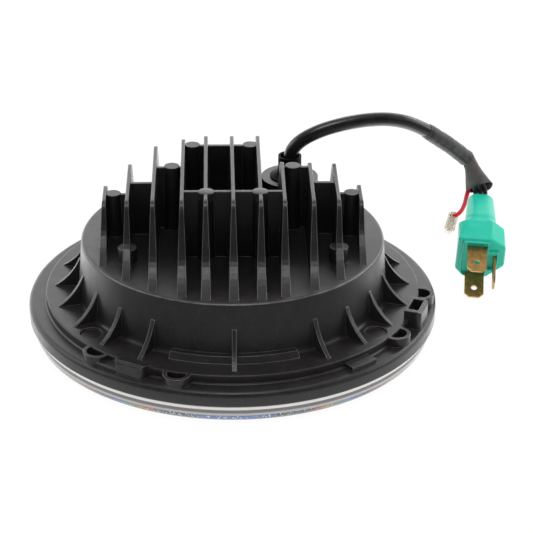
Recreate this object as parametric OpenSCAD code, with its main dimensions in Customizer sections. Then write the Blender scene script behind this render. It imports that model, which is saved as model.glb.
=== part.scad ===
// Round LED motorcycle headlight, built to lie on its lens with the finned back upwards.
// Z is up, the lamp axis is the Z axis, and the lens rests on z = 0.
// The black back is one die casting, and everything inside it is reached from the lens side.

/* [Flange and lens] */
// Outer diameter of the mounting flange
flange_d = 178; // [172:1:190]
// Height of the flange's outer edge
flange_h = 6.5; // [5.5:0.1:8]
// Height of clear lens that shows below the flange
lens_show = 8.5; // [8:0.1:10]
// Thickness of the lens
lens_t = 3; // [2.4:0.1:3.4]
// Radius of the lens's rounded outer edge
lens_edge_r = 5; // [4:0.2:5.6]
// How far the lens stands in from the flange's edge
lens_inset = 1.4; // [1:0.1:2]
// Depth of the groove that holds the lens
groove_depth = 4; // [3:0.1:4.4]
// Thickness of the sealing bead in the groove
seal_t = 0.8; // [0.5:0.1:1.2]

/* [Ring and bowl] */
// How far the raised ring stands in from the flange's edge
ring_inset = 7.6; // [7:0.1:8.4]
// Height of the raised ring above the flange
ring_h = 3.9; // [3:0.1:5]
// How far the disc at the top of the bowl stands in from the flange's edge
bowl_inset = 23.5; // [22:0.1:25]
// Height of the disc above the flange
bowl_h = 28; // [26:0.5:32]
// How much wider the bowl is at its foot, on the radius
bowl_flare = 1.6; // [1:0.1:2.4]
// Wall thickness of the bowl
bowl_wall = 3; // [2.4:0.1:3.6]
// Thickness of the disc that carries the fins
disc_t = 5; // [4:0.2:6]
// Radius of the disc's rounded edge
disc_edge_r = 1.4; // [0.8:0.1:2]

/* [Fins] */
// Height of the middle fin above the disc
fin_h = 31.8; // [28:0.2:34]
// Thickness of a fin at its top
fin_t = 1.65; // [1.5:0.05:2.4]
// Growth of a fin's thickness for each millimetre down
fin_draft = 0.078; // [0.04:0.002:0.09]
// Step from the middle fin to the next one
fin_step_1 = 11.4; // [10.8:0.1:12]
// Step to the third fin from the middle
fin_step_2 = 9.9; // [9.4:0.1:10.6]
// Step to the fourth fin from the middle
fin_step_3 = 12.1; // [11.4:0.1:12.6]
// Step to the fifth fin from the middle
fin_step_4 = 11.1; // [10.4:0.1:11.6]
// Step to the outermost fin
fin_step_5 = 10.3; // [9.8:0.1:10.8]
// Distance from the outermost fin to the disc's edge
fin_edge = 10.7; // [10:0.1:12]
// How much lower the third fin is than the middle one
fin_drop_2 = 0.8; // [0.4:0.1:1.4]
// How much lower the fourth fin is
fin_drop_3 = 2.5; // [2:0.1:3]
// How much lower the fifth fin is
fin_drop_4 = 6.9; // [6:0.1:8]
// How much lower the outermost fin is
fin_drop_5 = 12.1; // [11:0.1:13]
// Slant of the middle fin's end, from its foot in to its top corner
fin_run_0 = 26.1; // [24:0.1:28]
// Slant of the second fin's end
fin_run_1 = 25.1; // [23:0.1:27]
// Slant of the third fin's end
fin_run_2 = 24; // [22:0.1:26]
// Slant of the fourth fin's end
fin_run_3 = 21.7; // [20:0.1:24]
// Slant of the fifth fin's end
fin_run_4 = 22.4; // [20:0.1:24]
// Slant of the outermost fin's end
fin_run_5 = 19.9; // [18:0.1:21]
// Distance from the disc's edge to a fin's foot
fin_inset = 2.8; // [2:0.1:4]
// Height of the flared foot at a fin's end
foot_h = 13; // [10:0.5:15]
// Slope at which the flared foot starts, in degrees
toe_slope = 20; // [16:1:24]
// Slope of a fin's end above its foot, in degrees
fin_slope = 70; // [68:0.5:72]
// Radius of a fin's top corners
fin_corner = 6; // [4:0.5:7]
// Thickness of the cross walls between the fins
web_t = 1.7; // [1.4:0.1:2.2]
// How much lower a cross wall is than the lower fin beside it
web_drop = 0.9; // [0.5:0.1:1.4]
// Place of the outer cross walls, behind the middle line
web_outer_y = 1.5; // [0:0.5:3]
// Place of the second cross walls, behind the middle line
web_second_y = 8; // [7:0.5:8.5]
// Place of the rear cross wall, behind the middle line
web_rear_y = 27.6; // [25:0.2:29]
// Place of the front cross wall, before the middle line
web_front_y = 20.8; // [18:0.2:22]
// Distance from the outlet boss to the top of the first short fin
short_gap_1 = 19.2; // [17:0.2:21]
// Distance from the outlet boss to the top of the second short fin
short_gap_2 = 16; // [15:0.2:19]
// Diameter of the round ejector pads
pad_d = 6.5; // [5.5:0.1:7]
// Diameter of the two short posts on the disc
post_d = 7.8; // [6:0.2:9]
// Height of the two short posts
post_h = 6.5; // [5:0.5:8]
// Place of the two short posts, before the middle line
post_y = 25.5; // [23:0.5:28]

/* [Ribs and lugs] */
// Thickness of a gusset rib
rib_t = 1.8; // [1.4:0.1:2.4]
// Height of a gusset rib on the bowl, above the flange
rib_h = 17; // [14:0.5:20]
// Reach of a gusset rib out from the bowl's foot
rib_reach = 10.6; // [9:0.2:12]
// Height of the low ledge at the bowl's foot
ledge_h = 2.5; // [1.5:0.1:3]
// Reach of the low ledge out from the bowl's foot
ledge_reach = 4.7; // [3.5:0.1:5.5]
// Diameter of the shallow round dishes on the ring
dish_d = 9.5; // [8:0.5:11]
// Depth of the shallow round dishes
dish_depth = 0.8; // [0.6:0.1:1.6]
// Outer radius of a lug loop
loop_r = 5.8; // [5.2:0.1:6]
// Wall of a lug loop
loop_wall = 1.5; // [1.2:0.1:1.8]
// Height of a lug loop above the flange
loop_h = 3.9; // [3:0.1:4.5]
// Width of the clip block between two loops
block_w = 13.6; // [12:0.2:14]
// Reach of the clip block out over the flange
block_reach = 5.4; // [5:0.1:6]
// Height of the two low pads beside the ring
low_pad_h = 1.9; // [1.2:0.1:2.6]
// Reach of the two low pads out from the ring
low_pad_reach = 5.1; // [4.6:0.1:5.6]

/* [Light unit] */
// Room between the outer cells and the bowl's wall
cell_room = 4.1; // [3.6:0.1:6]
// Gap between neighbouring cells
cell_gap = 0.4; // [0.2:0.1:0.8]
// Diameter of the hole for the light source in a cell
cell_hole_d = 8; // [7:0.2:10]
// Wall thickness of the reflectors
reflector_t = 1.4; // [1.2:0.1:1.8]
// Thickness of the light source board
board_t = 1.6; // [1.2:0.1:2]
// Thickness of the heat pad above that board
heat_pad_t = 0.8; // [0.5:0.1:1.2]
// Thickness of the bezel plate
bezel_t = 1.5; // [1.2:0.1:1.8]
// How far the middle of the light ring stands in from the housing's wall
light_ring_inset = 5.5; // [4.6:0.1:6]
// Width of the light ring
light_ring_w = 5; // [4:0.2:6]
// Gap from the light source board's edge to the bowl's wall
board_room = 3.9; // [3.2:0.1:5]
// Gap between the cells and the driver board
driver_gap = 4; // [3:0.1:5]
// Depth of the driver board, from front to back
driver_depth = 16; // [15:0.5:18]
// Distance of the driver board below the ceiling
driver_drop = 8.5; // [7.5:0.1:9]
// Distance from the outlet to the driver board
driver_clear = 12; // [11:0.5:13]
// Height of the driver's coil
coil_h = 7; // [6:0.5:8]
// Height of the driver's capacitors
capacitor_h = 10; // [8:0.5:12]
// Radius of the posts that take the inner screws
post_r = 3; // [2.8:0.1:3.4]
// Depth of thread for the inner screws
thread_l = 5; // [4:0.5:6]
// Shank diameter of the inner screws
screw_d = 3; // [2.5:0.1:3.5]
// Free space round pieces that are set into one another
fit_gap = 0.3; // [0.2:0.05:0.4]

/* [Cable outlet] */
// Place of the outlet to the right of the lamp axis
outlet_x = 26; // [25.5:0.1:26.5]
// Place of the outlet behind the lamp axis
outlet_y = 40; // [39.5:0.1:40.5]
// Diameter of the cast boss under the outlet
boss_d = 25.5; // [24:0.1:26.5]
// Height of the cast boss above the disc
boss_h = 9.7; // [9:0.1:10]
// Diameter of the bore through the boss
outlet_bore = 12; // [11:0.2:13]
// Diameter of the grommet's foot on the boss
grommet_foot_d = 17.5; // [16:0.1:19]
// Outer diameter of the grommet's collar
collar_d = 10.4; // [10.2:0.1:11.4]
// Height of the collar above the boss
collar_h = 10; // [9:0.2:11]
// Wall of the collar
collar_wall = 0.9; // [0.7:0.1:1.1]
// Diameter of the cable
cable_d = 6.3; // [5.8:0.1:6.6]
// Outer diameter of the shrink sleeve
sleeve_d = 7.4; // [7.2:0.1:8]

/* [Plug] */
// Width of the plug body
plug_w = 22.6; // [22:0.2:24]
// Height of the plug body
plug_h = 26.4; // [25:0.2:28]
// Length of the plug body's wide part
plug_l = 12; // [11:0.5:13]
// Length of the neck behind the wide part
tail_l = 24.4; // [22:0.2:26]
// Depth of each of the two steps in the plug's front face
lip_depth = 0.8; // [0.6:0.1:1.2]
// Width of the brass blades
blade_w = 8.7; // [7.8:0.1:9]
// Thickness of the brass blades
blade_t = 0.8; // [0.7:0.05:1]
// Length of blade that stands out of the plug
blade_out = 14; // [12:0.5:15]
// Distance between the two parallel blades
blade_gap = 17.8; // [17:0.1:18.4]
// Diameter of the hole in a blade
blade_hole_d = 2.8; // [2:0.1:3.2]

/* [Hidden] */
$fn = 96;

// Heights, from the lens face up
flange_z = lens_show;
flange_top = flange_z + flange_h;
ring_top = flange_top + ring_h;
disc_top = flange_top + bowl_h;
ceiling = disc_top - disc_t;
flange_r = flange_d / 2;
ring_r = flange_r - ring_inset;
bowl_r = flange_r - bowl_inset;
bowl_foot_r = bowl_r + bowl_flare;
rib_end_r = bowl_foot_r + rib_reach;
ledge_r = bowl_foot_r + ledge_reach;
lens_r = flange_r - lens_inset;
groove_out_r = lens_r - 0.5;
groove_in_r = groove_out_r - lens_t;
wall_in_r = groove_in_r - 3.6;
inner_r = bowl_r - bowl_wall;
light_ring_r = wall_in_r - light_ring_inset;
board_r = inner_r - board_room;

// Fins: place, height and end of each, counted out from the middle one
fin_steps = [0, fin_step_1, fin_step_1 + fin_step_2, fin_step_1 + fin_step_2 + fin_step_3,
    fin_step_1 + fin_step_2 + fin_step_3 + fin_step_4,
    fin_step_1 + fin_step_2 + fin_step_3 + fin_step_4 + fin_step_5];
fin_drops = [0, 0, fin_drop_2, fin_drop_3, fin_drop_4, fin_drop_5];
fin_runs = [fin_run_0, fin_run_1, fin_run_2, fin_run_3, fin_run_4, fin_run_5];
function fin_x(i) = sign(i) * fin_steps[abs(i)] * (bowl_r - fin_edge) / fin_steps[5];
function fin_top(i) = fin_h - fin_drops[abs(i)];
function foot_y(i) = sqrt(pow(bowl_r - fin_inset, 2) - pow(fin_x(i), 2));
function top_y(i) = foot_y(i) - fin_runs[abs(i)];
function foot_l(i) = fin_runs[abs(i)] - (fin_top(i) - foot_h) / tan(fin_slope);
function web_h(i, j) = min(fin_top(i), fin_top(j)) - web_drop;
short_end = [outlet_y - boss_d / 2 - short_gap_1, outlet_y - boss_d / 2 - short_gap_2];

// One quarter turn or less as points, used for every rounded corner of a profile
function arc(cx, cy, r, a0, a1, n = 6) =
    [for (k = [0 : n]) [cx + r * cos(a0 + (a1 - a0) * k / n), cy + r * sin(a0 + (a1 - a0) * k / n)]];
// A curve from p to r that heads for q
function bow(p, q, r, n = 5) =
    [for (k = [0 : n]) let (t = k / n) (1 - t) * (1 - t) * p + 2 * t * (1 - t) * q + t * t * r];
function back(list) = [for (k = [len(list) - 1 : -1 : 0]) list[k]];

// Light unit: places and heights
cell_d = (inner_r - cell_room - reflector_t - 1.118 * (2 * reflector_t + cell_gap)) / 1.618;
cell_r = cell_d / 2;
cell_pitch = cell_d + 2 * reflector_t + cell_gap;
row_half = cell_pitch / 2;
bezel_z = flange_z - bezel_t;
plate_z = flange_z + 2.6;
pad_z = ceiling - heat_pad_t;
board_z = pad_z - board_t;
cell_top = board_z - fit_gap;
cell_focus = cell_r * cell_r / (4 * (cell_top - flange_z));
ear_x = cell_pitch + cell_r + 4.6;
ear_r = 4;
head_h = 2.2;
board_half = outlet_y - outlet_bore / 2 - 3;
driver_t = 1.6;
driver_z = ceiling - driver_drop;
driver_y = row_half + cell_r + reflector_t + driver_gap;
driver_left = 2.3 - sqrt(pow(board_r, 2) - pow(driver_y + 6, 2));
driver_right = outlet_x - driver_clear;
driver_w = driver_right - driver_left;
driver_spots = [[driver_left + driver_w / 6, driver_y + 6], [driver_right - driver_w / 5, driver_y + 10]];
coil_r = driver_w / 8;
capacitor_r = driver_w / 12;
board_spots = [[7.3 - ear_x, 0], [-row_half, 0], [row_half, 0], [ear_x - 7.3, 0]];

// Cable outlet: heights
boss_top = disc_top + boss_h;
collar_top = boss_top + collar_h;
shoulder = collar_top - 3;
plug_depth = 2.4;

// The cord's points are given from the outlet's axis and from the table. Those above the
// plug follow the collar's height, so the cord stays whole when the housing changes.
function moved(list) = [for (q = list)
    [q[0] + outlet_x, q[1] + outlet_y, q[2] + (collar_top - 62.7) * max(0, min(1, (q[2] - 30) / 28))]];
// The cable's route, from inside the housing, through the grommet, to the end of its jacket
cable_path = concat(
    [[outlet_x, outlet_y, ceiling - 1.5], [outlet_x, outlet_y, boss_top - 4.7],
     [outlet_x, outlet_y, collar_top - 3.7]],
    moved([[0.2, 0, 62], [1.1, 0, 65], [3.1, 0.2, 67.9], [6.1, 0.6, 70.3], [9.8, 1.2, 72.2],
        [14.5, 2.2, 73.9], [21, 3.6, 75.4], [29, 5.6, 76.4], [37, 7.6, 76.6], [45, 9.6, 75.8],
        [53, 11.8, 73.4], [60.5, 14.2, 69.3], [63.9, 15.5, 66.8], [67.3, 16.9, 64],
        [73, 19.6, 58.9], [77.2, 21.8, 54.6], [80.9, 23.8, 50.6]]));
// First ring of the route that the shrink sleeve covers
sleeve_start = 15;
// The plug's wires, from the jacket's end into the neck of the plug
lead_path = moved([[81.05, 23.9, 50.4], [82.5, 24.8, 48.4], [84.6, 25.9, 44.2], [87, 26.9, 38.8],
    [88.9, 27.6, 34.6], [89.9, 26.9, 31.9], [89.75, 24.5, 30.5], [89.5, 21.9, 29.4]]);
// The wires inside, from the grommet to the driver board
inner_path = [for (q = [[0, 0, -1.65], [0, 0, -2.85], [-0.5, 0.3, -3.6], [-2.6, 1.6, -4.4],
    [-7, 3.6, -4.6], [-13, 5.8, -4.6], [-19, 7.2, -4.6]]) q + [outlet_x, outlet_y, ceiling]];
// The spare red wire, from inside the loose sleeve to its covered terminal
red_path = moved([[84.2, 26.4, 38.8], [84.05, 26.8, 36], [83.75, 27.2, 33], [83.4, 28.6, 29.6],
    [82.6, 31.6, 25], [81.9, 35.6, 20.9], [81.5, 39.6, 17.4], [81.2, 42.2, 14.9], [81, 43.6, 13.4]]);
// Axis of the covered terminal, from the wire down to the tip on the table
terminal_path = moved([[81, 43.6, 13.4], [76.9, 48.9, 2.1]]);
terminal_r = 2.9;
// The loose sleeve: middle line, and half width and half depth at each point of it
loose_path = moved([[81.3, 24, 50.1], [82.3, 24.5, 49], [84.5, 25.5, 44.4], [86.6, 26.3, 39.8],
    [88.6, 26.9, 34.8]]);
loose_half = [[3.5, 3.3], [3.6, 3.4], [4.4, 3.7], [5.4, 4.1], [6.2, 4.4]];

// Place of the plug: middle of its front face, and its turn, dip and roll
plug_at = moved([[86, -10.3, 15.6]])[0];
plug_turn = -6.2;
plug_dip = 23;
plug_roll = 2.5;
blade_x = -1.6;
blade_low = -10.2;
side_x = 6.8;
side_z = -1.4;

// A solid that is swept along a path: each ring has n corners, of half sizes r[i]
function unit(v) = v / norm(v);
function heading(p, i) = unit(p[min(i + 1, len(p) - 1)] - p[max(i - 1, 0)]);
function ring(p, i, r, n) =
    let (t = heading(p, i), s = unit(cross(t, [0, 1, 0])), u = cross(s, t))
    [for (k = [0 : n - 1]) p[i] + r[0] * cos(360 * k / n) * s + r[1] * sin(360 * k / n) * u];
function side_faces(a, b, n) =
    [for (k = [0 : n - 1]) each [[a + k, a + (k + 1) % n, b + (k + 1) % n], [a + k, b + (k + 1) % n, b + k]]];

module tube(p, r, n = 12, first = 0) {
    rings = [for (i = [first : len(p) - 1]) ring(p, i, [r, r], n)];
    m = len(rings);
    polyhedron(
        points = [for (q = rings) each q],
        faces = concat(
            [for (i = [0 : m - 2]) each side_faces(i * n, (i + 1) * n, n)],
            [[for (k = [n - 1 : -1 : 0]) k]],
            [[for (k = [0 : n - 1]) (m - 1) * n + k]]),
        convexity = 6);
}

module hollow_tube(p, outer, wall, n = 12, first = 0) {
    rings = [for (i = [first : len(p) - 1]) ring(p, i, outer[i - first], n)];
    bores = [for (i = [first : len(p) - 1]) ring(p, i, outer[i - first] - [wall, wall], n)];
    m = len(rings);
    b = m * n;
    polyhedron(
        points = concat([for (q = rings) each q], [for (q = bores) each q]),
        faces = concat(
            [for (i = [0 : m - 2]) each side_faces(i * n, (i + 1) * n, n)],
            [for (i = [0 : m - 2]) each side_faces(b + (i + 1) * n, b + i * n, n)],
            side_faces(b, 0, n),
            side_faces((m - 1) * n, b + (m - 1) * n, n)),
        convexity = 8);
}

// Three wires side by side along one path
module three_wires(p, wire_r, spread) {
    for (k = [0 : 2])
        tube([for (i = [0 : len(p) - 1])
            let (t = heading(p, i), s = unit(cross(t, [0, 1, 0])), u = cross(s, t))
            p[i] + spread * (cos(120 * k + 30) * s + sin(120 * k + 30) * u)], wire_r, 8);
}

module spin(points) rotate_extrude() polygon(points);

// Casting: the turned body with flange, ring, bowl and disc
module casting_body() {
    spin(concat(
        [[0, ceiling], [bowl_r - bowl_wall - 1.5, ceiling], [bowl_r - bowl_wall, ceiling - 3],
         [bowl_foot_r - bowl_wall, ring_top], [bowl_foot_r - bowl_wall + 1, ring_top - 3.6],
         [wall_in_r - 6, ring_top - 3.6], [wall_in_r, flange_z + 1.4], [wall_in_r, flange_z],
         [groove_in_r, flange_z], [groove_in_r, flange_z + groove_depth],
         [groove_out_r, flange_z + groove_depth], [groove_out_r, flange_z],
         [flange_r - 0.5, flange_z], [flange_r, flange_z + 0.5]],
        arc(flange_r - 2, flange_top - 2, 2, 0, 90, 6),
        [[ring_r + 0.5, flange_top], [ring_r, flange_top + 0.5]],
        arc(ring_r - 0.6, ring_top - 0.6, 0.6, 0, 90, 4),
        bow([bowl_foot_r + 2.2, ring_top], [bowl_foot_r + 0.1, ring_top], [bowl_foot_r - 0.1, ring_top + 2.4]),
        arc(bowl_r - disc_edge_r, disc_top - disc_edge_r, disc_edge_r, 0, 90, 5),
        [[0, disc_top]]));
}

// Casting: one cooling fin, thicker towards its base, with a flared foot at each full end
module fin(i) {
    h = fin_top(i);
    foot = foot_y(i);
    top = top_y(i);
    reach = foot_l(i);
    is_short = i == 2 || i == 3;
    half_top = fin_t / 2;
    half_base = half_top + fin_draft * h / 2;
    turn = (foot_h - tan(toe_slope) * reach) / (tan(fin_slope) - tan(toe_slope));
    cut = fin_corner * tan(fin_slope / 2);
    front = concat(
        bow([-foot, 0], [reach - turn - foot, foot_h - tan(fin_slope) * turn], [reach - foot, foot_h], 8),
        bow([-top - cut * cos(fin_slope), h - cut * sin(fin_slope)], [-top, h], [cut - top, h], 5));
    rear_y = is_short ? short_end[i - 2] : top;
    rear = is_short
        ? concat(bow([rear_y - 2, h], [rear_y, h], [rear_y + 0.8, h - 2], 3), [[rear_y + h / tan(70), 0]])
        : back([for (q = front) [-q[0], q[1]]]);
    translate([fin_x(i), 0, disc_top])
        intersection() {
            rotate([90, 0, 90])
                linear_extrude(height = 4 * fin_t, center = true)
                    polygon(concat([[-foot, -1]], front, rear, [[rear[len(rear) - 1][0], -1]]));
            rotate([90, 0, 0])
                linear_extrude(height = 2 * bowl_r, center = true)
                    polygon(concat(
                        [[-half_base, -2], [half_base, -2]],
                        arc(half_top - 0.5, h - 0.5, 0.5, 0, 90, 2),
                        arc(-half_top + 0.5, h - 0.5, 0.5, 90, 180, 2)));
        }
}

// Casting: a cross wall from fin i to fin j, a little lower than both
module web(i, j, y) {
    translate([fin_x(i), y - web_t / 2, disc_top - 1])
        cube([fin_x(j) - fin_x(i), web_t, web_h(i, j) + 1]);
}

module ejector_pad(x, y, h) {
    translate([x, y, disc_top - 1])
        cylinder(h = h + 1, r1 = pad_d / 2 + 0.4, r2 = pad_d / 2);
}

module fin_pack() {
    for (i = [-5 : 5])
        fin(i);
    web(-5, -4, web_outer_y);
    web(-4, -3, web_outer_y);
    web(-3, -2, web_second_y);
    web(-2, 1, web_rear_y);
    web(-2, 2, -web_front_y);
    web(2, 3, web_second_y);
    web(3, 4, web_outer_y);
    web(4, 5, web_outer_y);
    for (side = [-1, 1]) {
        ejector_pad(side * (fin_x(5) - 3.6), web_outer_y, web_h(4, 5) + 0.4);
        ejector_pad(side * (fin_x(2) + 4.7), web_second_y, web_h(2, 3) + 0.6);
        ejector_pad(side * fin_x(1), -web_front_y - 0.6, web_h(2, 1) - 0.2);
        translate([side * fin_x(4), -post_y, disc_top - 1])
            cylinder(h = post_h + 1, r1 = post_d / 2 + 0.3, r2 = post_d / 2);
    }
    ejector_pad(-fin_x(1) - 5.9, web_rear_y, web_h(2, 1) + 0.4);
    ejector_pad(fin_x(1) - 3.4, web_rear_y, web_h(2, 1) + 0.4);
}

// Casting: one gusset rib, with a hollow curved top edge
module rib() {
    rotate([90, 0, 0])
        linear_extrude(height = rib_t, center = true)
            polygon(concat(
                [[bowl_r - 1.5, ring_top - 1], [rib_end_r, ring_top - 1]],
                bow([rib_end_r, ring_top], [bowl_r + 4.6, ring_top + 4.4], [bowl_r + 1, flange_top + rib_h], 8),
                [[bowl_r - 1.5, flange_top + rib_h]]));
}

// Casting: a lug group of two open loops and a clip block, pointing along +X
module lug_group(block_h, inner_h, pocket) {
    for (a = [-13.5, 13.5])
        rotate(a)
            translate([ring_r + 0.7, 0, flange_top - 0.5])
                difference() {
                    cylinder(h = loop_h + 0.5, r = loop_r);
                    translate([0, 0, 0.5])
                        cylinder(h = loop_h + 1, r = loop_r - loop_wall);
                }
    out = ring_r + block_reach;
    half = block_w / 2;
    top = flange_top + block_h;
    difference() {
        intersection() {
            translate([0, 0, flange_top - 0.5])
                linear_extrude(height = block_h + 1)
                    polygon(concat([[ring_r - 2, -half]], arc(out - 2, 2 - half, 2, -90, 0, 4),
                        arc(out - 2, half - 2, 2, 0, 90, 4), [[ring_r - 2, half]]));
            rotate([90, 0, 0])
                linear_extrude(height = block_w + 2, center = true)
                    polygon([[ring_r - 3, flange_top - 1], [out + 1, flange_top - 1], [out + 1, top - 2.8],
                        [out - 0.4, top - 0.6], [out - 1.6, top], [ring_r - 3, flange_top + inner_h]]);
        }
        if (pocket)
            translate([ring_r - 0.9, 2 - half, flange_top + 1])
                cube([block_reach - 0.9, block_w - 4, block_h]);
    }
}

// Angle, block height, height of the block's inner side, and whether it has a pocket
lug_groups = [[240, 6.2, 3.6, false], [339.8, 8.2, 8.2, true], [111, 6.2, 3.6, false]];

// A low flat pad beside the ring, over a span of angles from the front
module low_pad(start, span) {
    rotate(start - 90)
        rotate_extrude(angle = span)
            polygon([[ring_r - 1, flange_top - 0.5], [ring_r + low_pad_reach, flange_top - 0.5],
                [ring_r + low_pad_reach, flange_top + low_pad_h - 0.4],
                [ring_r + low_pad_reach - 0.4, flange_top + low_pad_h], [ring_r - 1, flange_top + low_pad_h]]);
}

module outer_details() {
    for (a = [0 : 15 : 345])
        if (a != 15 && a != 345)
            rotate(a - 90)
                rib();
    for (g = lug_groups)
        rotate(g[0])
            lug_group(g[1], g[2], g[3]);
    rotate(-90 - 22)
        rotate_extrude(angle = 44)
            polygon([[bowl_r, ring_top - 1], [ledge_r, ring_top - 1], [ledge_r, ring_top],
                [ledge_r - 2, ring_top + ledge_h], [bowl_r, ring_top + ledge_h]]);
    low_pad(34, 8.6);
    difference() {
        low_pad(-43.6, 9.4);
        rotate(lug_groups[0][0] - 13.5)
            translate([ring_r + 0.7, 0, flange_top - 1])
                cylinder(h = loop_h, r = loop_r - loop_wall / 2);
    }
    translate([outlet_x, outlet_y, disc_top - 1])
        cylinder(h = boss_h + 1, r1 = boss_d / 2 + 0.6, r2 = boss_d / 2);
}

// Casting: posts inside that carry the reflectors and the driver board
module inner_posts() {
    for (x = [-ear_x, ear_x])
        for (y = [-row_half, row_half])
            translate([x, y, plate_z + reflector_t])
                cylinder(h = ceiling + 1 - plate_z - reflector_t, r = post_r + 0.2);
    for (s = driver_spots)
        translate([s[0], s[1], driver_z + driver_t])
            cylinder(h = ceiling + 1 - driver_z - driver_t, r = post_r);
}

module rear_housing() {
    color("#26272a")
        difference() {
            union() {
                casting_body();
                fin_pack();
                outer_details();
                inner_posts();
            }
            translate([outlet_x, outlet_y, ceiling - 1])
                cylinder(h = disc_t + boss_h + 2, d = outlet_bore);
            for (s = [-1, 1])
                rotate(-90 + s * 53.3)
                    translate([(bowl_foot_r + ring_r) / 2, 0, ring_top - dish_depth])
                        cylinder(h = dish_depth + 1, d = dish_d);
            for (x = [-ear_x, ear_x])
                for (y = [-row_half, row_half])
                    translate([x, y, plate_z + reflector_t - 1])
                        cylinder(h = thread_l + 4, d = screw_d);
            for (s = driver_spots)
                translate([s[0], s[1], driver_z + driver_t - 1])
                    cylinder(h = thread_l + 2, d = screw_d);
            for (s = board_spots)
                translate([s[0], s[1], ceiling - 1])
                    cylinder(h = thread_l, d = screw_d);
        }
}

module front_lens() {
    color("#d8e4ea", 0.45)
        spin(concat(
            [[0, 0]],
            arc(lens_r - lens_edge_r, lens_edge_r, lens_edge_r, -90, 0, 8),
            [[lens_r, flange_z], [groove_out_r - 0.15, flange_z],
             [groove_out_r - 0.15, flange_z + groove_depth - seal_t],
             [groove_in_r + 0.15, flange_z + groove_depth - seal_t], [groove_in_r + 0.15, lens_edge_r]],
            arc(groove_in_r + 0.15 - (lens_edge_r - lens_t), lens_edge_r, lens_edge_r - lens_t, 0, -90, 5),
            [[0, lens_t]]));
}

module lens_seal() {
    color("#3b3b3d")
        translate([0, 0, flange_z + groove_depth - seal_t])
            difference() {
                cylinder(h = seal_t, r = groove_out_r);
                translate([0, 0, -1])
                    cylinder(h = seal_t + 2, r = groove_in_r);
            }
}

// Places of the three cells of one row
module cells(side) {
    for (k = [-1 : 1])
        translate([k * cell_pitch, side * row_half, 0])
            children();
}

module bezel() {
    color("#1b1c1e")
        translate([0, 0, bezel_z])
            difference() {
                cylinder(h = bezel_t, r = groove_in_r - fit_gap);
                for (side = [-1, 1])
                    cells(side)
                        translate([0, 0, -1])
                            cylinder(h = bezel_t + 2, r = cell_r);
            }
}

module light_ring() {
    color("#f1f3f2")
        translate([0, 0, bezel_z])
            spin(concat(
                [[light_ring_r - light_ring_w / 2, 0]],
                arc(light_ring_r, -0.8, light_ring_w / 2, 180, 360, 10),
                [[light_ring_r + light_ring_w / 2, 0]]));
}

module ring_board() {
    color("#e8e9e4")
        translate([0, 0, flange_z])
            difference() {
                cylinder(h = 1.2, r = light_ring_r + light_ring_w / 2 + 1);
                translate([0, 0, -1])
                    cylinder(h = 4, r = light_ring_r - light_ring_w / 2 - 1);
            }
}

// One moulded and mirror coated reflector with three deep cells
module reflector(side) {
    hole_r = cell_hole_d / 2;
    steps = 10;
    bowl_in = [for (k = [0 : steps])
        let (r = hole_r + (cell_r - hole_r) * k / steps)
        [r, cell_top - r * r / (4 * cell_focus)]];
    bowl_out = [for (q = bowl_in) [q[0] + reflector_t, q[1]]];
    cells(side)
        spin(concat(bowl_in, back(bowl_out)));
    difference() {
        union() {
            translate([-cell_pitch - cell_r, side > 0 ? fit_gap : -row_half - 10, plate_z])
                cube([2 * (cell_pitch + cell_r), row_half + 10 - fit_gap, reflector_t]);
            for (x = [-ear_x, ear_x])
                translate([x, side * row_half, plate_z])
                    cylinder(h = reflector_t, r = ear_r);
            translate([-ear_x, side * row_half - ear_r, plate_z])
                cube([2 * ear_x, 2 * ear_r, reflector_t]);
        }
        cells(side)
            translate([0, 0, plate_z - 1])
                cylinder(h = 4, r = cell_r - 0.2);
        for (x = [-ear_x, ear_x])
            translate([x, side * row_half, plate_z - 1])
                cylinder(h = 4, d = screw_d + fit_gap);
    }
}

module low_beam_reflector() color("#cfd3d6") reflector(1);
module high_beam_reflector() color("#cfd3d6") reflector(-1);

module board_outline(h, r) {
    intersection() {
        cylinder(h = h, r = r);
        translate([-r, -board_half, 0])
            cube([2 * r, 2 * board_half, h]);
    }
}

module led_board() {
    color("#e9ebe6")
        difference() {
            translate([0, 0, board_z])
                board_outline(board_t, board_r);
            for (s = board_spots)
                translate([s[0], s[1], board_z - 1])
                    cylinder(h = board_t + 2, d = screw_d + fit_gap);
            for (x = [-ear_x, ear_x])
                for (y = [-row_half, row_half])
                    translate([x, y, board_z - 1])
                        cylinder(h = board_t + 2, r = post_r + 0.2 + fit_gap);
        }
}

module led_emitters() {
    color("#f2d552")
        for (side = [-1, 1])
            cells(side)
                translate([0, 0, board_z - 0.7]) {
                    translate([-2.6, -2.6, 0])
                        cube([5.2, 5.2, 0.7]);
                    translate([0, 0, -0.5])
                        cylinder(h = 1, r = 1.9);
                }
}

module heat_pad() {
    color("#7d8f9b")
        difference() {
            translate([0, 0, pad_z])
                board_outline(heat_pad_t, board_r);
            for (s = board_spots)
                translate([s[0], s[1], pad_z - 1])
                    cylinder(h = heat_pad_t + 2, d = screw_d + 1);
            for (x = [-ear_x, ear_x])
                for (y = [-row_half, row_half])
                    translate([x, y, pad_z - 1])
                        cylinder(h = heat_pad_t + 2, r = post_r + 0.2 + fit_gap);
        }
}

module driver_board() {
    color("#1f6b3a")
        difference() {
            translate([0, 0, driver_z])
                intersection() {
                    cylinder(h = driver_t, r = board_r);
                    translate([driver_left, driver_y, 0])
                        cube([driver_w, driver_depth, driver_t]);
                }
            for (s = driver_spots)
                translate([s[0], s[1], driver_z - 1])
                    cylinder(h = driver_t + 2, d = screw_d + fit_gap);
        }
}

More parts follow.
